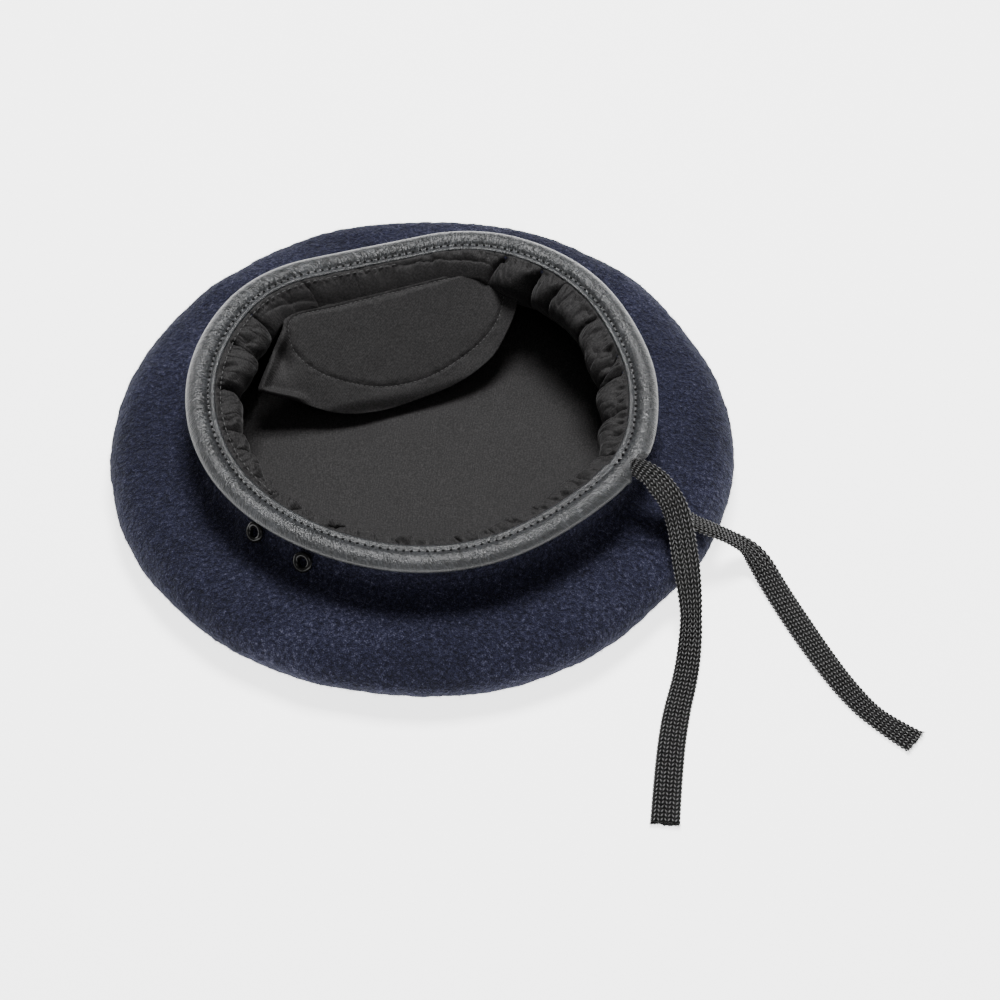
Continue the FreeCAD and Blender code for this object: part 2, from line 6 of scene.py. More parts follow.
import bpy
import numpy as np
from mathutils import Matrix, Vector


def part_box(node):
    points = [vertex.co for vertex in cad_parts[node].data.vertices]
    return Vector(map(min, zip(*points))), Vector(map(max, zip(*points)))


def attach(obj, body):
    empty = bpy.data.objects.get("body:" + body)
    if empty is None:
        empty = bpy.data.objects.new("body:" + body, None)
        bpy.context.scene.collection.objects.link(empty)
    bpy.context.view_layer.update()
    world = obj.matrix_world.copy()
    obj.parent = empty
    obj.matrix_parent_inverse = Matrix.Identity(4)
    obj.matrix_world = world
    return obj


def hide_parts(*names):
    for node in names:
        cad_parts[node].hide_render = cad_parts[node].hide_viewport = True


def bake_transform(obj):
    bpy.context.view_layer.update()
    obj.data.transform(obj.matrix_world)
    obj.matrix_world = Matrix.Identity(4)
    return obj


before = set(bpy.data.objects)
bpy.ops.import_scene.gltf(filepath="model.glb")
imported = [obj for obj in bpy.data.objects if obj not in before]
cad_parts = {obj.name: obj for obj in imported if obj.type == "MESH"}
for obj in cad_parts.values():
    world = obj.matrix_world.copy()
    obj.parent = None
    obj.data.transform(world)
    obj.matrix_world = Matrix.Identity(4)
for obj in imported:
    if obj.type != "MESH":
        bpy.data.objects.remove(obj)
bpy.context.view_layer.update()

# ---- sizes, in metres

MM = 0.001
BINDING_LOW, BINDING_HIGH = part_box("leather_binding")
WOOL_LOW, WOOL_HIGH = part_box("wool_shell")
CROWN_LINING_LOW, CROWN_LINING_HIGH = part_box("crown_lining")
RIM_RADIUS = (BINDING_HIGH.x - BINDING_LOW.x) / 2
RIM_SHIFT = (BINDING_HIGH.x + BINDING_LOW.x) / 2
FOLD_HEIGHT = (BINDING_LOW.z + BINDING_HIGH.z) / 2
RIM_FLAT_DISTANCE = RIM_RADIUS - 9.6 * MM
RIM_FLAT_DEGREES = 134
RIM_FLAT_DIRECTION = math.radians(RIM_FLAT_DEGREES)
RIM_CORNER = 58 * MM
BINDING_WIDTH = 12.2 * MM
CROWN_RADIUS = (WOOL_HIGH.x - WOOL_LOW.x) / 2
CROWN_FLAT = CROWN_RADIUS - 19 * MM
FELT = 2.6 * MM
NECK_RADIUS = RIM_RADIUS - BINDING_WIDTH + FELT
SEAM_INSET = 9.3 * MM
STITCH_PITCH = 3.1 * MM
CORD_WIDTH = 11 * MM
CORD_THICKNESS = 2.2 * MM
CROWN_LINING_RADIUS = (CROWN_LINING_HIGH.x - CROWN_LINING_LOW.x) / 2
UP = np.array((0.0, 0.0, 1.0))

CAMERA_TURN = math.radians(26.8)
CAMERA_RISE = math.radians(49.06)
CAMERA_DISTANCE = 1.2
CAMERA_AIM = Vector((38.9 * MM, -2.9 * MM, 0))
SENSOR = 36
LENS = SENSOR * 2.86

# Route of each tail, from part.py, in millimetres.
RIGHT_TAIL = (
    (96.6, 0.0, 48.9), (101.6, -0.6, 49.5), (106.8, -1.6, 48.3), (112.0, -2.6, 44.8),
    (117.6, -4.0, 39.6), (123.0, -8.6, 33.2), (128.2, -15.6, 27.0), (133.6, -22.8, 20.0),
    (138.4, -29.8, 11.4), (142.4, -38.6, 4.4), (147.3, -53.5, 1.4), (151.7, -73.4, 1.4),
    (159.7, -97.2, 1.4), (169.4, -121.6, 1.4),
)
LEFT_TAIL = (
    (96.6, 0.0, 46.6), (101.8, 0.4, 45.4), (107.2, 0.4, 41.8), (112.6, 0.0, 36.4),
    (118.4, -0.2, 30.8), (124.8, 1.2, 26.4), (131.4, 5.0, 21.6), (137.6, 9.6, 15.4),
    (143.8, 13.2, 8.8), (150.6, 12.2, 4.0), (158.4, 6.2, 1.6), (172.4, -5.4, 1.4),
    (190.6, -19.6, 1.4), (207.6, -31.4, 1.4), (223.6, -39.6, 1.4), (240.4, -42.5, 1.4),
)

# ---- meshes


def add_object(name, data):
    """Object that holds this data, in the scene."""
    piece = bpy.data.objects.new(name, data)
    bpy.context.scene.collection.objects.link(piece)
    return piece


def add_mesh(name, points, faces):
    """Smooth-shaded mesh object from points and faces."""
    mesh = bpy.data.meshes.new(name)
    mesh.from_pydata(np.asarray(points).reshape(-1, 3).tolist(), [], faces)
    mesh.shade_smooth()
    return add_object(name, mesh)


def grid_faces(rows, columns, close_rows=False, close_columns=False, capped=False):
    """Quads between the points of a grid, and a face over each open end if it is capped."""
    points = np.arange(rows * columns).reshape(rows, columns)
    index = points
    if close_rows:
        index = np.vstack([index, index[:1]])
    if close_columns:
        index = np.hstack([index, index[:, :1]])
    corners = (index[:-1, :-1], index[:-1, 1:], index[1:, 1:], index[1:, :-1])
    faces = np.stack(corners, axis=-1).reshape(-1, 4).tolist()
    if capped:
        ends = (points[0, ::-1], points[-1]) if close_columns else (points[:, 0], points[::-1, -1])
        faces += [end.tolist() for end in ends]
    return faces


def add_grid(name, grid, **options):
    """Mesh object over a grid of points; the options are those of grid_faces."""
    return add_mesh(name, grid, grid_faces(*grid.shape[:2], **options))


def add_copies(name, grids, **options):
    """Mesh object over many separate grids of the same size."""
    count, rows, columns = grids.shape[:3]
    faces = np.array(grid_faces(rows, columns, **options))
    shifted = faces + rows * columns * np.arange(count)[:, None, None]
    return add_mesh(name, grids, shifted.reshape(-1, 4).tolist())


def full_turn(count):
    """Even angles all the way round, in radians."""
    return np.linspace(0, 2 * math.pi, count, endpoint=False)


def points_at(*axes):
    """Points from their coordinates, which are spread to one common shape."""
    return np.stack(np.broadcast_arrays(*axes), axis=-1)


def unit(vectors):
    """The same vectors at length one."""
    return vectors / np.linalg.norm(vectors, axis=-1, keepdims=True)


def smoothstep(value, low, high):
    """Eases from 0 at low to 1 at high."""
    share = np.clip((value - low) / (high - low), 0, 1)
    return share * share * (3 - 2 * share)


def hill(value, width, power=2):
    """Smooth bump: 1 at zero, about a third at this width on either side."""
    return np.exp(-((value / width) ** power))


def noise(points, size, seed):
    """Smooth random field from -1 to 1, with features of about this size."""
    table_size = 32
    table = np.random.default_rng(seed).uniform(-1, 1, (table_size,) * 3)
    cell = np.asarray(points) / size
    low = np.floor(cell).astype(int)
    share = smoothstep(cell - low, 0, 1)
    total = np.zeros(cell.shape[:-1])
    for corner in itertools.product((0, 1), repeat=3):
        place = (low + np.array(corner)) % table_size
        weight = np.prod(np.where(corner, share, 1 - share), axis=-1)
        total += weight * table[place[..., 0], place[..., 1], place[..., 2]]
    return total


def ridged(points, size, seed):
    """Noise with sharp creases, as in crumpled cloth: about -1 to 0, lowest in the creases."""
    return -((1 - np.abs(noise(points, size, seed))) ** 4)


def catmull(rows, steps):
    """Smooth values at fractional places between rows of numbers."""
    last = len(rows) - 1
    low = np.clip(steps.astype(int), 0, last - 1)
    share = (steps - low).reshape(-1, *[1] * (rows.ndim - 1))
    before, start = rows[np.maximum(low - 1, 0)], rows[low]
    end, after = rows[low + 1], rows[np.minimum(low + 2, last)]
    slope = (end - before) * share
    bend = (2 * before - 5 * start + 4 * end - after) * share**2
    return (2 * start + slope + bend + (3 * start - before - 3 * end + after) * share**3) / 2


def distance_along(line):
    """How far along a line each of its points lies."""
    return np.concatenate([[0], np.cumsum(np.linalg.norm(np.diff(line, axis=0), axis=1))])


def sample(line, travelled, wanted):
    """The values of a line at the wanted distances along it."""
    return np.stack([np.interp(wanted, travelled, column) for column in line.T], axis=1)


def dense(rows, count):
    """Smooth curve through a few rows of numbers, at this many even steps."""
    rows = np.asarray(rows, float)
    padded = np.vstack([2 * rows[0] - rows[1], rows, 2 * rows[-1] - rows[-2]])
    steps_between = 12
    steps = np.arange((len(rows) - 1) * steps_between) / steps_between
    samples = np.vstack([catmull(padded, steps + 1), rows[-1]])
    travelled = distance_along(samples[:, :2])
    return sample(samples, travelled, np.linspace(0, travelled[-1], count))


# ---- outline of the opening

# Uneven places in the opening: direction and half width in degrees, height in millimetres.
OPENING_BUMPS = (
    (3, 15, 2.4), (84, 22, 1.8), (-26, 18, -1.3), (48, 14, -1.0), (-95, 22, -1.2), (172, 20, 0.8),
)


def degrees_from(angle, direction):
    """Signed turn from a direction, in degrees."""
    return (np.degrees(angle) - direction + 180) % 360 - 180


def wobble(angle):
    """How far the real opening stands out of its even outline."""
    return sum(height * MM * hill(degrees_from(angle, direction), width)
               for direction, width, height in OPENING_BUMPS)


def rim_radius_at(angle, inset):
    """Distance of the opening's outline from its centre: a circle with one flattened side."""
    turn = np.abs((angle - RIM_FLAT_DIRECTION + math.pi) % (2 * math.pi) - math.pi)
    radius = RIM_RADIUS - inset
    distance = RIM_FLAT_DISTANCE - inset
    corner = np.maximum(RIM_CORNER - inset, 1 * MM)
    offset = radius - corner
    corner_turn = np.arccos(np.clip((distance - corner) / offset, -1, 1))
    across = offset * np.sin(corner_turn - turn)
    rounded = offset * np.cos(corner_turn - turn) + np.sqrt(np.maximum(corner**2 - across**2, 0))
    flat = distance / np.maximum(np.cos(turn), 0.2)
    on_flat = distance * np.tan(np.minimum(turn, 1.4)) <= offset * np.sin(corner_turn)
    return np.where(turn >= corner_turn, radius, np.where(on_flat, flat, rounded))


def place_round(angle, inset, height, flattening=1.0):
    """Points round the axis: parallel to the opening at flattening 1, on a circle at 0."""
    outline = rim_radius_at(angle, inset) + wobble(angle)
    reach = (1 - flattening) * (RIM_RADIUS - inset) + flattening * outline
    return points_at(RIM_SHIFT * flattening + reach * np.cos(angle), reach * np.sin(angle), height)


# ---- materials


class Surface:
    """A material's node tree, with short helpers for procedural detail."""

    def __init__(self, name, **values):
        self.material = bpy.data.materials.new(name)
        self.material.use_nodes = True
        self.nodes = self.material.node_tree.nodes
        self.links = self.material.node_tree.links
        self.shader = self.nodes["Principled BSDF"]
        for socket, value in values.items():
            self.shader.inputs[socket.replace("_", " ")].default_value = value
        self.place = self.nodes.new("ShaderNodeTexCoord").outputs["Object"]

    def node(self, kind, inputs=None, **settings):
        """A node with its settings and inputs; an input is a value or another output."""
        node = self.nodes.new(kind)
        for setting, value in settings.items():
            setattr(node, setting, value)
        for socket, value in (inputs or {}).items():
            if isinstance(value, bpy.types.NodeSocket):
                self.links.new(value, node.inputs[socket])
            else:
                node.inputs[socket].default_value = value
        return node

    def cloud(self, scale, detail=2.0, place=None):
        """Noise between 0 and 1; scale is in features per metre."""
        inputs = {"Vector": place or self.place, "Scale": scale, "Detail": detail}
        return self.node("ShaderNodeTexNoise", inputs).outputs["Fac"]

    def stretched(self, coordinates, scales):
        """Coordinates scaled by an amount of their own along each axis."""
        inputs = {0: coordinates, 1: scales}
        return self.node("ShaderNodeVectorMath", inputs, operation="MULTIPLY").outputs["Vector"]

    def math(self, operation, first, second=0.0):
        """One step of arithmetic."""
        return self.node("ShaderNodeMath", {0: first, 1: second}, operation=operation).outputs["Value"]

    def weighted(self, *parts):
        """Sum of outputs, each times its own weight."""
        total, *others = [self.math("MULTIPLY", output, weight) for output, weight in parts]
        for other in others:
            total = self.math("ADD", total, other)
        return total

    def ramp(self, factor, stops):
        """Colours or greys between positions from 0 to 1."""
        node = self.node("ShaderNodeValToRGB", {"Fac": factor})
        elements = node.color_ramp.elements
        while len(elements) < len(stops):
            elements.new(0.5)
        for element, (position, colour) in zip(elements, stops):
            element.position = position
            element.color = (*colour, 1) if isinstance(colour, tuple) else (colour, colour, colour, 1)
        return node.outputs["Color"]

    def bump(self, height, distance, strength=1.0, under=None):
        """Adds relief to the surface; distance is the full height in metres."""
        inputs = {"Height": height, "Distance": distance, "Strength": strength}
        if under:
            inputs["Normal"] = under
        return self.node("ShaderNodeBump", inputs).outputs["Normal"]

    def finish(self, **outputs):
        """Joins outputs to the shader's inputs."""
        for socket, output in outputs.items():
            self.links.new(output, self.shader.inputs[socket.replace("_", " ")])
        return self.material


def wool_material():
    """Milled navy felt: mottled, with a fine nap that catches light at grazing angles."""
    surface = Surface("wool_felt", Roughness=0.95, Sheen_Weight=0.10, Sheen_Roughness=0.5,
                      Sheen_Tint=(0.62, 0.66, 0.90, 1), Specular_IOR_Level=0.15)
    clumps = surface.cloud(620, 3.0)
    specks = surface.cloud(2100)
    mottling = surface.weighted((specks, 0.55), (clumps, 0.45), (surface.cloud(26), 0.18))
    colour = surface.ramp(mottling, (
        (0.44, (0.0010, 0.0011, 0.0034)), (0.57, (0.0045, 0.0048, 0.0130)),
        (0.68, (0.0165, 0.0172, 0.0370)), (0.80, (0.080, 0.082, 0.122)),
    ))
    normal = surface.bump(clumps, 1.3 * MM)
    normal = surface.bump(specks, 0.5 * MM, 1.0, normal)
    return surface.finish(Base_Color=colour, Normal=normal)


def fibre_material():
    """Loose wool fibres of the nap, a little paler than the felt."""
    surface = Surface("wool_fibre", Roughness=0.85, Specular_IOR_Level=0.2)
    shade = surface.cloud(900, 1.0)
    colour = surface.ramp(shade, ((0.3, (0.004, 0.0045, 0.010)), (0.75, (0.040, 0.042, 0.075))))
    return surface.finish(Base_Color=colour)


def leather_material():
    """Charcoal leather with fine pebbled grain and creases across the strip; the creases are painted
    darker in their hollows and lighter on their ridges, as painted shade and highlight.
    """
    surface = Surface("binding_leather", Roughness=0.4, Specular_IOR_Level=0.56)
    strip = surface.node("ShaderNodeUVMap", uv_map="strip").outputs["UV"]
    gathers = surface.node("ShaderNodeAttribute", attribute_name="gathered").outputs["Fac"]
    ridges, lines = (
        surface.math("SUBTRACT", surface.cloud(1.0, place=surface.stretched(strip, scales)), 0.5)
        for scales in ((1350, 260, 1), (2000, 450, 1))
    )
    creases = surface.weighted((ridges, gathers), (lines, 0.65))
    broad = surface.math("SUBTRACT", surface.cloud(75, 3.0), 0.5)
    # Painted shade and highlight: the colour follows the creases, darker in their hollows and lighter on
    # their ridges, over a broad random tone.
    crease_shade_and_tone = surface.math("ADD", surface.weighted((creases, 1.0), (broad, 0.35)), 0.5)
    tone = surface.ramp(crease_shade_and_tone, (
        (0.32, (0.0035, 0.0038, 0.0042)), (0.5, (0.0145, 0.0155, 0.0168)), (0.7, (0.045, 0.048, 0.052)),
    ))
    gloss = surface.ramp(surface.cloud(900), ((0.3, 0.28), (0.72, 0.42)))
    grain = surface.node("ShaderNodeTexVoronoi", {"Vector": surface.place, "Scale": 2300.0})
    normal = surface.bump(creases, 0.7 * MM)
    normal = surface.bump(grain.outputs["Distance"], 0.16 * MM, 0.7, normal)
    normal = surface.bump(surface.cloud(4200), 0.08 * MM, 0.5, normal)
    return surface.finish(Base_Color=tone, Roughness=gloss, Normal=normal)


def twill_material():
    """Dark charcoal lining twill: fine diagonal ribs, slubs and a slight sheen."""
    surface = Surface("lining_twill", Roughness=0.72, Sheen_Weight=0.06, Sheen_Roughness=0.4,
                      Specular_IOR_Level=0.22)
    slant = {0: surface.place, 1: (1.0, 0.62, 0.83)}
    diagonal = surface.node("ShaderNodeVectorMath", slant, operation="DOT_PRODUCT").outputs["Value"]
    wandering = surface.weighted((diagonal, 1.0), (surface.cloud(160), 2.0 * MM))
    ribs = surface.math("SINE", surface.math("MULTIPLY", wandering, 2 * math.pi / (0.75 * MM)))
    slubs = surface.cloud(1500, 3.0)
    tone = surface.weighted((ribs, 0.10), (slubs, 1.0))
    colour = surface.ramp(tone, ((0.36, (0.0040, 0.0038, 0.0039)), (0.72, (0.0225, 0.0213, 0.0217))))
    normal = surface.bump(ribs, 0.10 * MM, 0.35)
    normal = surface.bump(slubs, 0.22 * MM, 0.7, normal)
    return surface.finish(Base_Color=colour, Normal=normal)


def braid_material():
    """Black braid of shiny yarn, each strand of many filaments; its colour has a painted highlight on the
    yarn crests and painted shade in the gaps between yarns.
    """
    surface = Surface("cord_braid", Specular_IOR_Level=0.2)
    filaments = surface.cloud(5200)
    yarn = surface.node("ShaderNodeAttribute", attribute_name="yarn").outputs["Fac"]
    painted_sheen_and_gap_shade = surface.weighted((yarn, 1.0), (surface.cloud(1500), 0.3))
    # Painted highlight and shade: near black in the gaps between yarns, bright on the yarn crests.
    colour = surface.ramp(painted_sheen_and_gap_shade, ((0.58, 0.0002), (0.88, 0.0070), (1.0, 0.1300)))
    gloss = surface.ramp(filaments, ((0.3, 0.22), (0.7, 0.38)))
    normal = surface.bump(filaments, 0.10 * MM, 0.6)
    return surface.finish(Base_Color=colour, Roughness=gloss, Normal=normal)


def enamel_material():
    """Glossy black enamel with a little dust in its roughness."""
    surface = Surface("eyelet_enamel", Coat_Weight=0.1, Specular_IOR_Level=0.22)
    colour = surface.ramp(surface.cloud(900), ((0.3, 0.003), (0.7, 0.007)))
    gloss = surface.ramp(surface.cloud(1600, 3.0), ((0.35, 0.08), (0.75, 0.18)))
    return surface.finish(Base_Color=colour, Roughness=gloss)


def thread_material(name, dark, pale):
    """Twisted sewing thread."""
    surface = Surface(name, Roughness=0.65, Specular_IOR_Level=0.2)
    twist = surface.cloud(5000, 1.0)
    colour = surface.ramp(twist, ((0.3, dark), (0.7, pale)))
    return surface.finish(Base_Color=colour, Normal=surface.bump(twist, 0.08 * MM, 0.6))


def board_material():
    """Matte fibre board for the inside of the pocket."""
    surface = Surface("stiffener_board", Roughness=0.9)
    fibres = surface.cloud(1200, 4.0)
    colour = surface.ramp(fibres, ((0.3, 0.03), (0.7, 0.06)))
    return surface.finish(Base_Color=colour, Normal=surface.bump(fibres, 0.1 * MM, 0.5))


def floor_material():
    """Pale paper with the faintest unevenness."""
    surface = Surface("pale_floor", Roughness=0.9, Emission_Strength=2.8, Emission_Color=(1, 1, 1, 1))
    colour = surface.ramp(surface.cloud(6, 3.0), ((0.3, 0.86), (0.7, 0.88)))
    return surface.finish(Base_Color=colour)


WOOL = wool_material()
FIBRE = fibre_material()
LEATHER = leather_material()
TWILL = twill_material()
BRAID = braid_material()
ENAMEL = enamel_material()
DARK_THREAD = thread_material("dark_thread", 0.0008, 0.004)
GREY_THREAD = thread_material("grey_thread", 0.035, 0.085)
BOARD = board_material()


def coat(piece, material):
    """Gives a piece this material alone."""
    piece.data.materials.clear()
    piece.data.materials.append(material)


def dress(piece, material, slot, body, *nodes):
    """Gives a piece its material, its body and the CAD nodes it stands for; the slot is not used."""
    coat(piece, material)
    if body:
        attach(piece, body)
    if nodes:
        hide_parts(*nodes)
    return piece


# ---- camera


def look_along(piece, direction):
    """Turns a camera or a lamp along a direction."""
    piece.rotation_mode = "QUATERNION"
    piece.rotation_quaternion = direction.to_track_quat("-Z", "Y")


def add_camera():
    """Camera at the reference view's angle and distance."""
    back = Vector((
        math.sin(CAMERA_TURN) * math.cos(CAMERA_RISE),
        -math.cos(CAMERA_TURN) * math.cos(CAMERA_RISE),
        math.sin(CAMERA_RISE),
    ))
    camera = add_object("camera", bpy.data.cameras.new("camera"))
    camera.data.sensor_width = SENSOR
    camera.data.lens = LENS
    camera.location = CAMERA_AIM + back * CAMERA_DISTANCE
    look_along(camera, -back)
    bpy.context.scene.camera = camera


add_camera()

# ---- drawstring

BRAID_STEP = 0.26 * MM
BRAID_COLUMNS = 18
BRAID_COLUMN_POINTS = 7
BRAID_PITCH = 2.0 * MM
BRAID_RELIEF = 1.0 * MM
# Share of the relief that is sunk below the core's surface, and the core's share of the thickness.
BRAID_SUNK = 0.75
BRAID_CORE = 0.86
PULL = 15 * MM
ROOT_LENGTH = 5.0 * MM
ROOT_ROWS = 110
# Fall of the root per length into the tunnel, and its width as a share of the tail's.
ROOT_DIP = 0.5
ROOT_WIDTH = 0.94


def smooth_route(name, route):
    """Even points on the NURBS spline that a cord's route gives, and how far along it each lies."""
    curve = bpy.data.curves.new(name, "CURVE")
    curve.dimensions = "3D"
    curve.resolution_u = 24
    spline = curve.splines.new("NURBS")
    spline.points.add(len(route) - 1)
    for point, place in zip(spline.points, route):
        point.co = (*(value * MM for value in place), 1)
    spline.order_u = 3
    spline.use_endpoint_u = True
    holder = add_object(name, curve)
    line = np.array([vertex.co for vertex in bpy.data.meshes.new_from_object(holder).vertices])
    bpy.data.objects.remove(holder)
    travelled = distance_along(line)
    wanted = np.linspace(0, travelled[-1], int(travelled[-1] / BRAID_STEP))
    return sample(line, travelled, wanted), wanted


def end_heading(line):
    """Direction of a line at its end."""
    return unit(line[-1] - line[-6])


def flat_section(count):
    """Outline of a flattened tube as shares of its half width and half thickness."""
    edge = CORD_THICKNESS / CORD_WIDTH
    turn = np.linspace(0, 2 * math.pi, 4001)
    across = np.sign(np.cos(turn)) * np.abs(np.cos(turn)) ** 0.75
    up = np.sign(np.sin(turn)) * np.abs(np.sin(turn)) ** 0.55
    outline = points_at(across, up)
    travelled = distance_along(outline * (1, edge))
    across, up = sample(outline, travelled, (np.arange(count) + 0.5) / count * travelled[-1]).T
    outward = unit(points_at(across * edge, up * (1.2 - np.abs(across) ** 4)))
    return across, up, outward


def braid_relief(along, count):
    """Height of the interlaced yarns: slanted floats in columns that lean left and right."""
    position = (np.arange(count) + 0.5) * BRAID_COLUMNS / count
    column = np.floor(position)
    across = position - column
    lean = np.where(column % 2 == 0, 1, -1)
    phase = along[:, None] / BRAID_PITCH + lean * (across - 0.5) * 0.8
    yarn = np.abs(np.cos(math.pi * phase)) ** 1.3
    return BRAID_RELIEF * ((0.25 + 0.75 * yarn) * np.sin(math.pi * across) ** 0.6 - BRAID_SUNK)


def braid_grid(line, along, rolls, widths):
    """Surface of the braid along a line; rolls in degrees and width shares vary along it."""
    count = BRAID_COLUMNS * BRAID_COLUMN_POINTS
    forward = unit(np.gradient(line, axis=0))
    level = unit(np.cross(UP, forward))
    above = np.cross(forward, level)
    share = along / along[-1]
    roll = np.radians(np.interp(share, *zip(*rolls)))[:, None]
    side = level * np.cos(roll) + above * np.sin(roll)
    top = above * np.cos(roll) - level * np.sin(roll)
    width = np.interp(share, *zip(*widths))[:, None]
    across, up, outward = flat_section(count)
    relief = braid_relief(along, count)
    sideways = across * width * CORD_WIDTH / 2 + outward[:, 0] * relief
    lift = up * CORD_THICKNESS / 2 / np.sqrt(width) * BRAID_CORE + outward[:, 1] * relief
    return line[:, None] + side[:, None] * sideways[..., None] + top[:, None] * lift[..., None]


def frayed_end(line, side_width, seed):
    """Short loose filaments at the cut end."""
    random = np.random.default_rng(seed)
    count = 130
    onward = end_heading(line)
    side = unit(np.cross(UP, onward))
    root = line[-1] - onward * 0.4 * MM
    root = root + side * (random.uniform(-0.5, 0.5, (count, 1)) * side_width)
    root = root + UP * random.uniform(-0.5, 0.8, (count, 1)) * MM
    heading = unit(onward + side * random.normal(0, 0.28, (count, 1)) + 0.12 * UP)
    return fibre_points(root, heading, UP, random, (0.7, 1.9), 0.16 * MM, 0.3)


def fibre_points(root, heading, normal, random, lengths, width, curl):
    """Curved narrow strips, four points long, from roots along headings."""
    count = len(root)
    length = random.uniform(*lengths, (count, 1)) * MM
    sideways = unit(np.cross(heading, normal) + 1e-9)
    bend = random.normal(0, curl, (count, 1))
    lift = random.uniform(-0.1, 0.5, (count, 1)) * curl
    strips = []
    for share in (0, 0.35, 0.7, 1.0):
        middle = root + heading * length * share
        middle = middle + (sideways * bend + normal * lift) * length * share**2
        half = sideways * width / 2 * (1 - 0.75 * share**2)
        strips.append(np.stack([middle - half, middle + half], axis=1))
    return np.stack(strips, axis=1)


def add_braid(name, grid, along, body, *nodes):
    """Closed braid from its rows of points, which also holds how high each point of a yarn lies."""
    rows, columns = grid.shape[:2]
    faces = grid_faces(rows, columns, close_columns=True)
    faces.append(list(range(columns)))
    faces.append(list(range(rows * columns - 1, (rows - 1) * columns - 1, -1)))
    braid = dress(add_mesh(name, grid, faces), BRAID, "cord_braid", body, *nodes)
    # The braid's material reads this yarn height to paint a highlight on the crests and shade in the
    # gaps.
    yarn = braid.data.attributes.new("yarn", "FLOAT", "POINT")
    yarn.data.foreach_set("value", (braid_relief(along, columns) / BRAID_RELIEF + BRAID_SUNK).ravel())
    return braid


def add_root(name, route, roll, width):
    """The stretch between the binding and a tail; its yarns are spread as if the pull had drawn it out of
    the tunnel.
    """
    first, second = np.array(route[:2]) * MM
    along = np.linspace(-ROOT_LENGTH, 0.6 * MM, ROOT_ROWS)
    line = first + along[:, None] * unit(second - first)
    line[:, 2] += ROOT_DIP * np.minimum(along, 0)
    yarns = (along - along[0]) * (1 + PULL / ROOT_LENGTH)
    width = width * ROOT_WIDTH
    grid = braid_grid(line, yarns, ((0, roll), (1, roll)), ((0, width), (1, width)))
    root = add_braid(f"{name}_root", grid, yarns, None)
    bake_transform(root)
    return root


def add_tail(name, route, rolls, widths, seed):
    """One free end of the drawstring: its braid, loose filaments at the cut end, and its root."""
    line, along = smooth_route(name, route)
    grid = braid_grid(line, along, rolls, widths)
    ragged = np.random.default_rng(seed).uniform(-0.5, 0.5, BRAID_COLUMNS) * MM
    jag = np.repeat(ragged, BRAID_COLUMN_POINTS)[:, None] * end_heading(line)
    for back, share in ((1, 1.0), (2, 0.6), (3, 0.3)):
        grid[-back] += jag * share
    tail = add_braid(f"{name}_braid", grid, along, "drawstring_tails", name)
    fibres = add_copies(f"{name}_fray", frayed_end(line, CORD_WIDTH * widths[-1][1], seed))
    dress(fibres, BRAID, "cord_braid", "drawstring_tails")
    root = add_root(name, route, rolls[0][1], widths[0][1])


# Roll in degrees and share of the full width, each after its share of the tail's length.
RIGHT_ROLLS = ((0, 14), (0.06, 20), (0.16, 26), (0.3, 8), (0.42, -10), (0.55, 4), (0.7, 0), (1, 0))
RIGHT_WIDTHS = ((0, 0.55), (0.08, 0.95), (0.3, 1.0), (0.42, 0.82), (0.52, 0.9), (0.7, 1.0), (1, 1.05))
LEFT_ROLLS = ((0, 0), (0.1, -3), (0.22, -5), (0.34, -6), (0.48, -3), (0.62, 0), (1, 0))
LEFT_WIDTHS = (
    (0, 0.5), (0.08, 0.72), (0.22, 0.78), (0.38, 1.0), (0.6, 1.0), (0.82, 0.9), (0.9, 0.84), (1, 1.04),
)
add_tail("drawstring_tail_right", RIGHT_TAIL, RIGHT_ROLLS, RIGHT_WIDTHS, 5)
add_tail("drawstring_tail_left", LEFT_TAIL, LEFT_ROLLS, LEFT_WIDTHS, 6)

# ---- wool shell

EYELET_DIRECTIONS = (-109.5, -93.6)
EYELET_HEIGHT = 30.6 * MM
EYELET_DISTANCE = 91.2 * MM
WIDEST_HEIGHT = 13 * MM
# Row of the felt's outer face at which the nap starts, under the crown.
NAP_FIRST_ROW = 52
# Way out from the neck and height in millimetres, and flattening, of the slope up to the neck.
SLOPE = (
    (23.5, 24.8, 0.15), (13.5, 26.0, 0.45), (6.0, 28.2, 0.85), (2.6, 31.8, 1), (0.8, 37.0, 1),
    (0.1, 43.5, 1),
)


def heading_of(direction, tilt=0.0):
    """Unit vector towards a direction in degrees, tilted up by some more."""
    turn, rise = math.radians(direction), math.radians(tilt)
    return np.array((math.cos(turn) * math.cos(rise), math.sin(turn) * math.cos(rise), math.sin(rise)))


def eyelet_seat(direction):
    """Where an eyelet sits in the neck."""
    return np.array((RIM_SHIFT, 0, EYELET_HEIGHT)) + EYELET_DISTANCE * heading_of(direction)


def wool_profile():
    """Rows of inset from the binding's fold, height and flattening: crown, edge, slope and neck."""
    crown = [(RIM_RADIUS - reach, 0.0, 0) for reach in (2 * MM, 60 * MM)]
    edge = []
    for turn in (-90, -70, -50, -30, -10, 12, 35, 58):
        rise = WIDEST_HEIGHT if turn < 0 else 11.5 * MM
        reach = CROWN_FLAT + (CROWN_RADIUS - CROWN_FLAT) * math.cos(math.radians(turn))
        edge.append((RIM_RADIUS - reach, WIDEST_HEIGHT + rise * math.sin(math.radians(turn)), 0))
    neck = RIM_RADIUS - NECK_RADIUS
    slope = [(neck - out * MM, height * MM, flattening) for out, height, flattening in SLOPE]
    return dense(crown + edge + slope, 150)


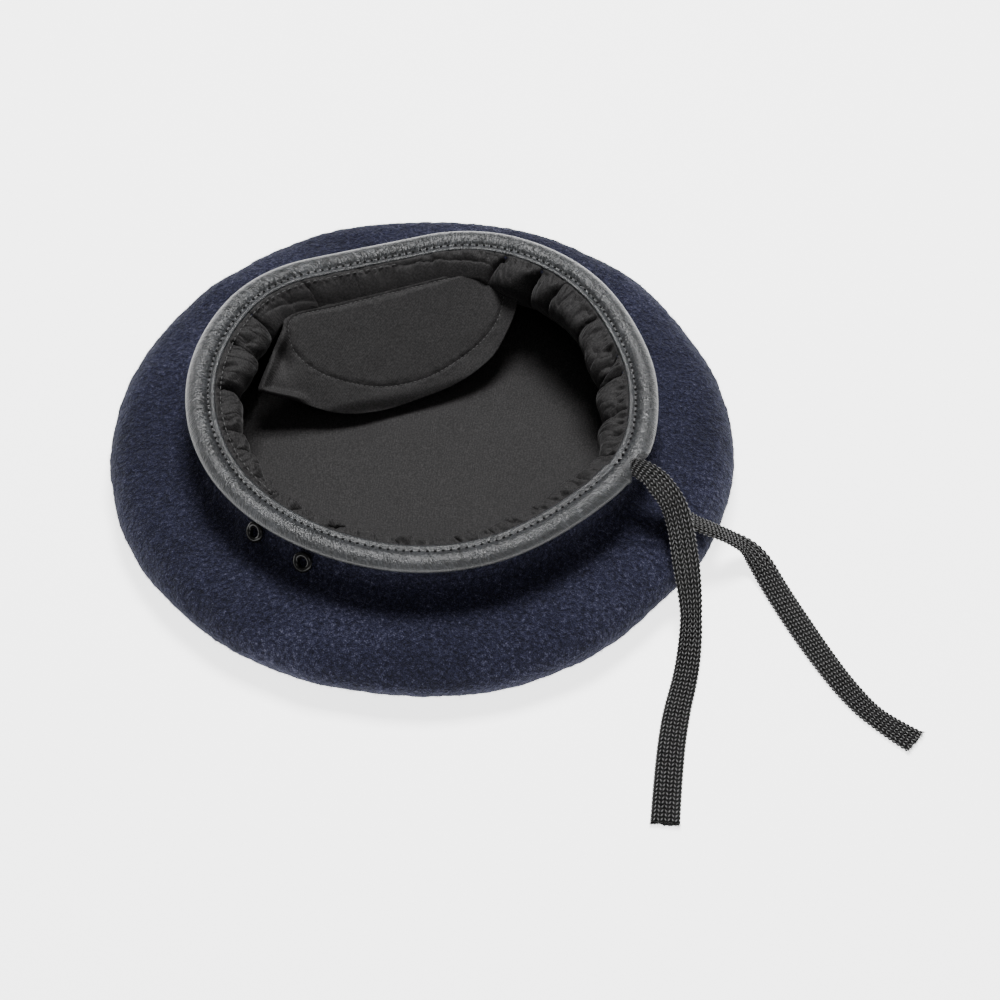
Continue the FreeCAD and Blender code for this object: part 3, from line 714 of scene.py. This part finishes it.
def make_wool():
    """Felt: outer face with soft dents, turned edge hidden in the binding, and the inner face."""
    angle = full_turn(760)
    outside = wool_profile()
    inset, height, flattening = (column[:, None] for column in outside.T)
    points = place_round(angle, inset, height, flattening)
    along = np.gradient(points, axis=0)
    around = np.roll(points, -1, axis=1) - np.roll(points, 1, axis=1)
    normal = unit(np.cross(around, along) + 1e-12)
    share = np.linspace(0, 1, len(outside))[:, None]
    lifted = smoothstep(height, 1 * MM, 9 * MM)
    free = lifted * (1 - smoothstep(share, 0.86, 0.98))
    dents = 1.5 * noise(points, 42 * MM, 11) + 0.6 * noise(points, 17 * MM, 12)
    valley = -2.2 * hill(degrees_from(angle, -13), 9) * smoothstep(share, 0.5, 0.78)
    hollow = -1.6 * hill(degrees_from(angle, 215), 28) * smoothstep(share, 0.6, 0.85)
    for direction in EYELET_DIRECTIONS:
        from_seat = np.linalg.norm(points - eyelet_seat(direction), axis=-1)
        free = free * smoothstep(from_seat, 6 * MM, 13 * MM)
    relief = (dents + valley + hollow) * free * MM
    nap = (0.26 * noise(points, 3.2 * MM, 14) + 0.2 * noise(points, 1.5 * MM, 13)) * MM * lifted
    outer = points + normal * (relief + nap)[..., None]
    # The lining hides the inner face, so every sixth row is enough.
    inner = (points - normal * FELT)[::-6]
    inner[..., 2] = np.maximum(inner[..., 2], FELT)
    lip = place_round(angle, 6 * MM, 45.9 * MM)[None]
    lip_top = place_round(angle, 6 * MM, 47.2 * MM)[None]
    inner[0] = place_round(angle, 13.3 * MM, 46.6 * MM)
    grid = np.concatenate([outer, lip, lip_top, inner])
    wool = add_grid("wool_shell_felt", grid, close_columns=True, capped=True)
    dress(wool, WOOL, "wool_felt", "hat", "wool_shell")
    return outer, normal


def make_nap(outer, normal):
    """Short loose fibres all over the felt that shows."""
    random = np.random.default_rng(21)
    rows, columns = outer.shape[:2]
    reach = np.linalg.norm(outer[NAP_FIRST_ROW:, :, :2], axis=-1)
    picks = random.choice(reach.size, 60000, p=(reach / reach.sum()).ravel())
    row, column = np.unravel_index(picks, reach.shape)
    row = np.minimum(row + NAP_FIRST_ROW, rows - 2)
    shift = random.uniform(0, 1, (len(row), 2, 1))
    root = outer[row, column]
    root = root + (outer[row + 1, column] - root) * shift[:, 0]
    root = root + (outer[row, (column + 1) % columns] - outer[row, column]) * shift[:, 1]
    up = normal[row, column]
    flat = unit(np.cross(up, random.normal(0, 1, up.shape)))
    heading = unit(flat + up * random.uniform(0.0, 0.9, (len(up), 1)) ** 1.5)
    strips = fibre_points(root - up * 0.08 * MM, heading, up, random, (0.8, 2.4), 0.09 * MM, 0.5)
    strips[..., 2] = np.maximum(strips[..., 2], 0.1 * MM)
    dress(add_copies("wool_nap", strips), FIBRE, "wool_felt", "hat")


make_nap(*make_wool())

# ---- leather binding

# Cut across: distance from the outer fold, then height from its middle, in millimetres.
BINDING_OUTSIDE = (
    (-12.2, 0.8), (-12.35, 1.3), (-11.9, 1.65), (-10.8, 1.75), (-9.3, 1.25), (-8.2, 2.2),
    (-7.2, 2.75), (-5.6, 3.25), (-3.2, 2.95), (-1.1, 1.7), (0.0, 0.1), (-0.6, -1.4), (-2.0, -2.5),
    (-4.5, -2.9), (-9.0, -2.9),
)
BINDING_INSIDE = (
    (-9.0, -1.9), (-4.0, -1.8), (-1.7, -1.0), (-1.1, 0.1), (-1.8, 1.1), (-4.6, 1.7), (-8.8, 0.9),
    (-11.9, 0.6),
)
BINDING_MIDDLE = FOLD_HEIGHT - 0.2 * MM
BINDING_START = math.radians(-4.2)
BINDING_END = math.radians(360.4)
# Stretch of the opening, in radians, along which the lining's second seam shows.
SECOND_SEAM = (2.2, 4.5)


def binding_rise(angle):
    """Gentle ups and downs of the binding as it lies."""
    return 0.7 * MM * np.sin(2 * angle + 0.6) + 0.35 * MM * np.sin(5 * angle + 2.0)


def gathered(angle):
    """How strongly the leather is drawn together: most of all beside the stiffener."""
    return 0.4 + 0.6 * hill(degrees_from(angle, 155), 62)


def pucker(angle, out):
    """Leather drawn together by the stitches: short ridges across the strip, flat along the seam."""
    run = angle * RIM_RADIUS
    field = points_at(run + 0.45 * out, out * 0.22, 0.0)
    ridges = 0.25 * noise(field, 2.2 * MM, 31) + 0.8 * noise(field, 1.0 * MM, 32)
    near_seam = hill(out + 6.8 * MM, 3.2 * MM)
    beside_seam = 1 - hill(out + SEAM_INSET, 1.1 * MM)
    return 0.5 * MM * gathered(angle) * ridges * near_seam * beside_seam


def make_binding():
    """Folded leather strip whose ends overlap at the back, over the drawstring."""
    columns = 2300
    outside = dense(BINDING_OUTSIDE, 44) * MM
    inside = dense(BINDING_INSIDE, 14) * MM
    out, up = np.concatenate([outside, inside]).T[..., None]
    share = np.linspace(0, 1, columns)[None, :]
    slant = -out / BINDING_WIDTH
    start = BINDING_START - 0.02 * slant
    end = BINDING_END - 0.075 * slant
    angle = start + (end - start) * share
    top_face = np.concatenate([np.ones(len(outside)), np.zeros(len(inside))])[:, None]
    visible = top_face * smoothstep(up, -1.5 * MM, 0.6 * MM)
    overlap_low = -0.9 * MM * (1 - smoothstep(share, 0.0, 0.018))
    overlap_high = 0.7 * MM * smoothstep(share, 0.975, 0.992)
    mouth = hill(degrees_from(angle, 0.8), 3.6, 4)
    drawn_in = np.minimum(out, -3.4 * MM * mouth)
    squeeze = 1 - 0.25 * mouth * smoothstep(-out, -1 * MM, 5 * MM)
    lift = up * squeeze + pucker(angle, out) * visible + binding_rise(angle)
    points = place_round(angle, -drawn_in, BINDING_MIDDLE + lift + overlap_low + overlap_high)
    binding = add_grid("leather_binding_strip", points, close_rows=True, capped=True)
    layer = binding.data.uv_layers.new(name="strip")
    flat = points_at(share * 0.6, out)
    loops = np.zeros(len(binding.data.loops), int)
    binding.data.loops.foreach_get("vertex_index", loops)
    layer.data.foreach_set("uv", flat.reshape(-1, 2)[loops].ravel())
    strength = binding.data.attributes.new("gathered", "FLOAT", "POINT")
    strength.data.foreach_set("value", gathered(angle).ravel())
    dress(binding, LEATHER, "binding_leather", "hat", "leather_binding")


def add_stitches(name, places, directions, normal, length, thickness):
    """Row of separate stitches: short threads that dip into the material at both ends."""
    rings, sides = 7, 6
    share = np.linspace(-1, 1, rings)[:, None]
    turn = full_turn(sides)
    sink = -(np.abs(share) ** 3) * thickness * 1.1
    radius = thickness / 2 * (1 - 0.55 * share**4)
    side = unit(np.cross(normal, directions))
    ahead = (share * length / 2)[..., None] * directions[:, None, None]
    across = (radius * np.cos(turn))[..., None] * side[:, None, None]
    above = (sink + radius * np.sin(turn))[..., None] * normal
    points = places[:, None, None] + ahead + across + above
    return add_copies(name, points, close_columns=True)


def stitch_points(line, pitch):
    """Points behind, at and ahead of the middle of each stitch along a line."""
    travelled = distance_along(line)
    middle = (np.arange(int(travelled[-1] / pitch)) + 0.5) * pitch
    return [sample(line, travelled, middle + shift) for shift in (-pitch / 2, 0, pitch / 2)]


def seam_line(inset, height, pitch, start, end):
    """Places and directions of stitches parallel to the opening."""
    fine = np.linspace(start, end, 4000)
    behind, places, ahead = stitch_points(place_round(fine, inset, height(fine)), pitch)
    return places, unit(ahead - behind)


def binding_top(angle):
    """Height of the binding's face along its seam."""
    return FOLD_HEIGHT + 1.35 * MM + binding_rise(angle)


def lining_top(angle):
    """Height of the lining's face along its second seam."""
    return 48.35 * MM + binding_rise(angle)


def make_binding_seams():
    """The seam through the leather, and the second row that holds the lining beside it."""
    row = seam_line(SEAM_INSET, binding_top, STITCH_PITCH, BINDING_START + 0.02, BINDING_END - 0.09)
    seam = add_stitches("binding_seam", *row, UP, STITCH_PITCH * 0.48, 1.0 * MM)
    dress(seam, DARK_THREAD, "thread", "hat", "binding_topstitch")
    row = seam_line(BINDING_WIDTH + 2.3 * MM, lining_top, 2.9 * MM, *SECOND_SEAM)
    second = add_stitches("lining_second_seam", *row, UP, 2.0 * MM, 0.42 * MM)
    dress(second, GREY_THREAD, "thread", "hat")


def make_hidden_drawstring():
    """The drawstring's length inside the binding, which follows its real outline."""
    columns, sides = 700, 14
    angle = np.linspace(math.radians(4), math.radians(355), columns)
    turn = full_turn(sides)[:, None]
    half_width, half_thickness = 1.9 * MM, 0.95 * MM
    height = BINDING_MIDDLE + half_thickness * np.sin(turn) + binding_rise(angle)
    points = place_round(angle, 3.9 * MM + half_width * np.cos(turn), height)
    cord = add_grid("drawstring_in_tunnel", points, close_rows=True, capped=True)
    dress(cord, BRAID, "cord_braid", "hat", "drawstring_in_binding")


make_binding()
make_binding_seams()
make_hidden_drawstring()

# ---- lining

TUCK_SPACING = (8 * MM, 30 * MM)
# Direction in which the lining stands closest to the binding.
NARROW_SIDE_DEGREES = -63

# Cuts across the side lining, from the binding's seam round to the crown piece. Each row holds the
# inset and the height in millimetres and the share of the folds' depth.
LINING_SEWN = ((9.8, 47.2, 0.0), (12.6, 47.8, 0.02))
LINING_FREE = (
    (15.4, 47.9, 0.35), (19.2, 47.3, 0.85), (22.6, 45.2, 1.0), (24.0, 41.4, 1.0), (22.8, 36.6, 0.9),
    (18.5, 29.5, 0.65), (12.5, 21.0, 0.4), (4.0, 12.5, 0.25),
)
LINING_NARROW = (
    (15.2, 47.8, 0.08), (17.8, 47.1, 0.25), (19.4, 44.8, 0.5), (19.4, 40.8, 0.6), (18.2, 35.6, 0.6),
    (15.0, 29.0, 0.5), (10.5, 21.0, 0.4), (4.0, 12.5, 0.25),
)
LINING_BESIDE_FLAP = (
    (15.0, 46.6, 0.10), (17.4, 44.2, 0.22), (19.8, 41.0, 0.14), (21.0, 38.4, 0.0), (19.8, 36.3, 0.0),
    (16.5, 31.0, 0.1), (11.5, 21.0, 0.15), (4.0, 12.5, 0.15),
)
LINING_FOOT = ((-4.5, 6.2, 0.1), (-7.5, 4.2, 0.0))


def tuck_positions():
    """Directions of the gathers' tucks, in radians, at uneven spacing."""
    random = np.random.default_rng(41)
    positions = [0.04]
    while positions[-1] < 2 * math.pi - 0.1:
        positions.append(positions[-1] + random.uniform(*TUCK_SPACING) / RIM_RADIUS)
    positions[-1] = positions[0] + 2 * math.pi
    return np.array(positions)


def near_flap(angle):
    """1 beside the stiffener pocket, easing to 0 away from it."""
    return 1 - smoothstep(np.abs(degrees_from(angle, RIM_FLAT_DEGREES)), 33, 44)


def lining_profile(angle):
    """Rows of inset, height and fold depth of the side lining in each direction."""
    free, narrow, beside = (
        np.array((*LINING_SEWN, *cut, *LINING_FOOT))[:, :, None]
        for cut in (LINING_FREE, LINING_NARROW, LINING_BESIDE_FLAP)
    )
    narrowness = hill(degrees_from(angle, NARROW_SIDE_DEGREES), 66, 4)
    flap = near_flap(angle)
    return (free * (1 - narrowness) + narrow * narrowness) * (1 - flap) + beside * flap


def lobes(angle, share):
    """Size and lean of the lining's lobe at each point, and how near its crease is, up to 1."""
    tucks = tuck_positions()
    random = np.random.default_rng(42)
    number = len(tucks) - 1
    sizes = random.uniform(0.15, 1.0, number) ** 1.2 * 1.5
    slants = random.uniform(-0.09, 0.09, number)
    leans = random.choice((-1.0, -0.6, 0.7, 1.0), number)
    skew = np.interp(angle, (tucks[:-1] + tucks[1:]) / 2, slants, period=2 * math.pi)
    shifted = (angle + skew * smoothstep(share, 0.0, 0.4) - tucks[0]) % (2 * math.pi) + tucks[0]
    lobe = np.clip(np.searchsorted(tucks, shifted, side="right") - 1, 0, number - 1)
    turn = tucks[lobe + 1] - tucks[lobe]
    within = (shifted - tucks[lobe]) / turn
    to_crease = np.minimum(within, 1 - within) * turn * RIM_RADIUS
    crease = np.exp(-to_crease / ((0.7 + 2.4 * smoothstep(share, 0.12, 0.42)) * MM))
    return sizes[lobe], leans[lobe] * (1 - 2 * within), crease


def make_side_lining():
    """Gathered strip: tucks that start at the seam, flat lobes between them, and fine pulls."""
    rows, columns = 110, 1900
    angle = full_turn(columns)
    cuts = lining_profile(angle)
    profile = catmull(cuts, np.linspace(0, len(cuts) - 1, rows))
    inset, height, depth = profile[:, 0] * MM, profile[:, 1] * MM, profile[:, 2]
    share = np.linspace(0, 1, rows)[:, None]
    size, lean, crease = lobes(angle, share)
    run = angle * RIM_RADIUS
    across = points_at(run + share * 10 * MM, share * 15 * MM, 0.0)
    broad = noise(across, 8 * MM, 45)
    facets = ridged(across, 6 * MM, 46) + 0.5 * ridged(across, 3.2 * MM, 47)
    fine = noise(across, 2.2 * MM, 43) + 0.5 * noise(across, 1.2 * MM, 44)
    near_seam = hill(share - 0.13, 0.11) * smoothstep(share, 0.05, 0.12)
    upper = smoothstep(share, 0.07, 0.18) * (1 - smoothstep(share, 0.5, 0.8))
    narrowness = hill(degrees_from(angle, NARROW_SIDE_DEGREES), 60, 4)
    calm = (1 - 0.88 * near_flap(angle)) * (1 - 0.45 * narrowness)
    diagonal = points_at(run * 0.15 + share * 60 * MM, share * 12 * MM - run * 0.1, 0.0)
    drawn = ridged(diagonal, 9 * MM, 48) * near_flap(angle) * (1 - smoothstep(share, 0.4, 0.5))
    size = size * calm
    inset = inset + depth * calm * (lean * 1.1 + 1.6 * broad - 5.6 * size * crease) * MM
    folds = size * (lean * 1.5 - crease * 6.5) + (1.5 * facets + 0.5 * fine) * calm + 1.2 * drawn
    height = height + (folds * upper + 0.7 * fine * near_seam) * MM
    height = height + binding_rise(angle) * (1 - smoothstep(share, 0, 0.25))
    low_part = smoothstep(share, 0.6, 0.95)[..., None]
    upper_points, foot_points = (place_round(angle, inset, height, flattening) for flattening in (1, 0))
    points = upper_points * (1 - low_part) + foot_points * low_part
    lining = add_grid("side_lining_cloth", points, close_columns=True)
    solidify(lining, 0.45 * MM)
    dress(lining, TWILL, "lining_twill", "hat", "side_lining")


def solidify(piece, thickness):
    """Gives a sheet its thickness, half of it on each side."""
    modifier = piece.modifiers.new("thickness", "SOLIDIFY")
    modifier.thickness = thickness
    modifier.offset = 0


def make_crown_lining():
    """Round flat piece, lying almost flat with a few soft waves."""
    rings, columns = 110, 360
    reach = np.linspace(0.5 * MM, CROWN_LINING_RADIUS, rings)[:, None]
    angle = full_turn(columns)
    x, y = reach * np.cos(angle), reach * np.sin(angle)
    flat = points_at(x, y, 0.0)
    waves = 0.9 * noise(flat * (1, 1.6, 1), 34 * MM, 51) + 0.25 * noise(flat, 11 * MM, 52) + 0.55
    points = points_at(x, y, CROWN_LINING_HIGH.z + np.maximum(waves, 0) * MM)
    faces = grid_faces(rings, columns, close_columns=True)
    faces.append(list(range(columns))[::-1])
    piece = add_mesh("crown_lining_cloth", points, faces)
    solidify(piece, 0.4 * MM)
    dress(piece, TWILL, "lining_twill", "hat", "crown_lining")


make_side_lining()
make_crown_lining()

# ---- stiffener pocket

FLAP_SEAM_DISTANCE = 66.5 * MM
FLAP_SEAM_HEIGHT = 37 * MM
FLAP_SLOPE = math.radians(35)


def flap_frame():
    """Seam's middle, and the pocket's directions: along the seam, down the slope and up."""
    inward = np.array((-math.cos(RIM_FLAT_DIRECTION), -math.sin(RIM_FLAT_DIRECTION), 0))
    middle = np.array((RIM_SHIFT, 0, 0)) - inward * FLAP_SEAM_DISTANCE + (0, 0, FLAP_SEAM_HEIGHT)
    along = np.cross(UP, inward)
    down = inward * math.cos(FLAP_SLOPE) - UP * math.sin(FLAP_SLOPE)
    return middle, along, down, np.cross(down, along)


# Outlines along the pocket's seam and down its slope, in millimetres: its free edge, and its stitches.
FLAP_EDGE = (
    (-40, 0), (-20, -0.8), (5, -1.5), (30, -2.4), (50, -3.5), (56, 0), (58.5, 8), (57, 17), (50, 27),
    (40.5, 36.5), (25, 43.5), (8, 46.5), (-12, 48), (-30, 45), (-47, 36), (-59, 30), (-60, 27), (-53, 17),
    (-45, 6),
)
FLAP_SEAM = (
    (-39, 1.5), (-20, 0.6), (5, -0.2), (30, -1.2), (50, -2), (54.5, 4), (49.5, 18), (40, 27.5),
    (26, 34.5), (10, 39), (-8, 38.5), (-24, 32.5), (-36, 24), (-42, 13),
)
FLAP_MIDDLE = np.array((-1.0, 20.0)) * MM
POCKET_TOP = 2.6 * MM


def closed_curve(outline, number=1200):
    """Smooth closed curve through an outline's points."""
    points = np.array(outline, float) * MM
    order = np.arange(-1, len(points) + 2) % len(points)
    return catmull(points[order], 1 + np.linspace(0, len(points), number, endpoint=False))


def reach_of(outline, direction):
    """Distance from the pocket's middle to an outline, by direction."""
    curve = closed_curve(outline) - FLAP_MIDDLE
    turns = np.arctan2(curve[:, 1], curve[:, 0])
    return np.interp(direction, turns, np.linalg.norm(curve, axis=-1), period=2 * math.pi)


def flap_point(x, y, lift):
    """A point of the pocket from its own coordinates."""
    middle, along, down, up = flap_frame()
    return middle + along * x[..., None] + down * y[..., None] + up * lift[..., None]


def flap_rise(x, y):
    """Height of the pocket's top over its flat shape: board, stitched groove, border and folds."""
    direction = np.arctan2(y - FLAP_MIDDLE[1], x - FLAP_MIDDLE[0])
    reach = np.hypot(x - FLAP_MIDDLE[0], y - FLAP_MIDDLE[1])
    inside = reach_of(FLAP_SEAM, direction) - reach
    edge_gap = reach_of(FLAP_EDGE, direction) - reach
    border = smoothstep(-inside, 0, 10 * MM)
    left = smoothstep(-x, 38 * MM, 46 * MM)
    spot = points_at(x, y, 0.0)
    board = 0.45 * smoothstep(inside, 0, 3.0 * MM) - 0.25 * hill(inside, 0.7 * MM)
    waves = 0.55 * noise(spot, 26 * MM, 61) + 0.15 * noise(spot, 8 * MM, 62)
    ripples = 0.7 * border * noise(spot, 13 * MM, 65)
    puckers = 0.22 * noise(spot, 2.6 * MM, 63) * hill(inside, 3 * MM)
    fold = 2.8 * left * hill(edge_gap - 2 * MM, 2.6 * MM)
    hollow = -3.4 * hill(x + 47.5 * MM, 4.2 * MM) * hill(y - 17 * MM, 6.5 * MM)
    droop = -2.0 * border * smoothstep(y, 41.5 * MM, 48 * MM)
    return (board + waves + ripples + puckers + fold + hollow + droop) * MM


def make_pocket():
    """Fabric pocket: top and bottom faces joined round a thin edge."""
    direction = np.linspace(-math.pi, math.pi, 620, endpoint=False)
    shares = np.linspace(0.006, 1, 110)[:, None] ** 0.8
    edge = reach_of(FLAP_EDGE, direction)
    x = FLAP_MIDDLE[0] + shares * edge * np.cos(direction)
    y = FLAP_MIDDLE[1] + shares * edge * np.sin(direction)
    edge_gap = (1 - shares) * edge
    thickness = 1.2 * MM * np.sqrt(np.clip(edge_gap / (1.2 * MM), 0.01, 1))
    thickness = thickness + 1.4 * MM * smoothstep(edge_gap, 2 * MM, 8 * MM)
    top_height = POCKET_TOP + flap_rise(x, y)
    top, bottom = (flap_point(x, y, height) for height in (top_height, top_height - thickness))
    grid = np.concatenate([top, bottom[::-1]])
    piece = add_grid("stiffener_pocket_cloth", grid, close_columns=True, capped=True)
    dress(piece, TWILL, "lining_twill", "stiffener", "stiffener_pocket")


def make_pocket_seam():
    """Stitches round the board and along the pocket's top."""
    pitch = 2.1 * MM
    curve = closed_curve(FLAP_SEAM, 4000)
    behind, places, ahead = (
        flap_point(x, y, POCKET_TOP + 0.1 * MM + flap_rise(x, y))
        for x, y in (points.T for points in stitch_points(np.vstack([curve, curve[:1]]), pitch))
    )
    normal = flap_frame()[3]
    seam = add_stitches("pocket_seam", places, unit(ahead - behind), normal, pitch * 0.78, 0.26 * MM)
    dress(seam, GREY_THREAD, "thread", "stiffener", "pocket_topstitch")


make_pocket()
make_pocket_seam()

# ---- eyelets, board and threads

# Cut across an eyelet: distance from its axis, then height over the felt, in millimetres.
EYELET_OUTLINE = (
    (4.2, -0.3), (4.4, 0.25), (4.15, 0.85), (3.4, 1.25), (2.6, 1.15), (2.1, 0.7), (1.95, 0.1),
    (1.95, -3.0), (2.4, -3.1), (2.7, -0.3),
)


def add_eyelet(node, direction):
    """Eyelet turned on a lathe: rounded flange, rolled mouth and barrel, over a disc of lining."""
    sides = 64
    outward = heading_of(direction, 32)
    seat = eyelet_seat(direction) + outward * 0.35 * MM
    rows = dense(EYELET_OUTLINE, 60) * MM
    sideways = unit(np.cross(outward, UP))
    upward = np.cross(sideways, outward)
    spin = full_turn(sides)[None, :, None]
    ring = sideways * np.cos(spin) + upward * np.sin(spin)
    points = seat + ring * rows[:, 0][:, None, None] + outward * rows[:, 1][:, None, None]
    eyelet = add_grid(f"{node}_turned", points, close_rows=True, close_columns=True)
    dress(eyelet, ENAMEL, "eyelet_enamel", "hat", node)
    disc = seat + ring[0] * 2.3 * MM - outward * 2.6 * MM
    lining = add_mesh(f"{node}_turned_lining", disc, [list(range(sides))])
    dress(lining, TWILL, "lining_twill", "hat")


for node, direction in zip(("vent_eyelet_front", "vent_eyelet_rear"), EYELET_DIRECTIONS):
    add_eyelet(node, direction)

# CAD solids that stay as they are, and their materials.
NODE_MATERIALS = {
    "vent_washer_front": ENAMEL, "vent_washer_rear": ENAMEL, "stiffener_board": BOARD,
    "lining_seam_thread": DARK_THREAD,
}
for node, material in NODE_MATERIALS.items():
    coat(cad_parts[node], material)

# ---- floor and lights


def add_floor():
    """Wide pale floor, which isn't part of the object."""
    reach = 6.0
    corners = [(-reach, -reach, 0), (reach, -reach, 0), (reach, reach, 0), (-reach, reach, 0)]
    floor = add_mesh("floor", corners, [(0, 1, 2, 3)])
    floor.location.z = -0.05 * MM
    coat(floor, floor_material())


def add_area_light(name, place, aim, size, power):
    """Soft square light that faces a point."""
    lamp = add_object(name, bpy.data.lights.new(name, "AREA"))
    lamp.data.size = size
    lamp.data.energy = power
    lamp.location = place
    look_along(lamp, Vector(aim) - Vector(place))


def add_lighting():
    """Even surroundings, a strong soft light behind and above, and a weak one in front."""
    world = bpy.data.worlds.new("studio")
    world.use_nodes = True
    background = world.node_tree.nodes["Background"]
    background.inputs["Color"].default_value = (1.0, 1.0, 1.0, 1)
    background.inputs["Strength"].default_value = 0.24
    bpy.context.scene.world = world
    add_area_light("overhead", (-0.12, 0.40, 1.35), (0, 0, 0), 0.5, 45)
    add_area_light("front", (0.7, -0.9, 1.3), (0.05, 0, 0), 0.7, 3.5)


add_floor()
add_lighting()
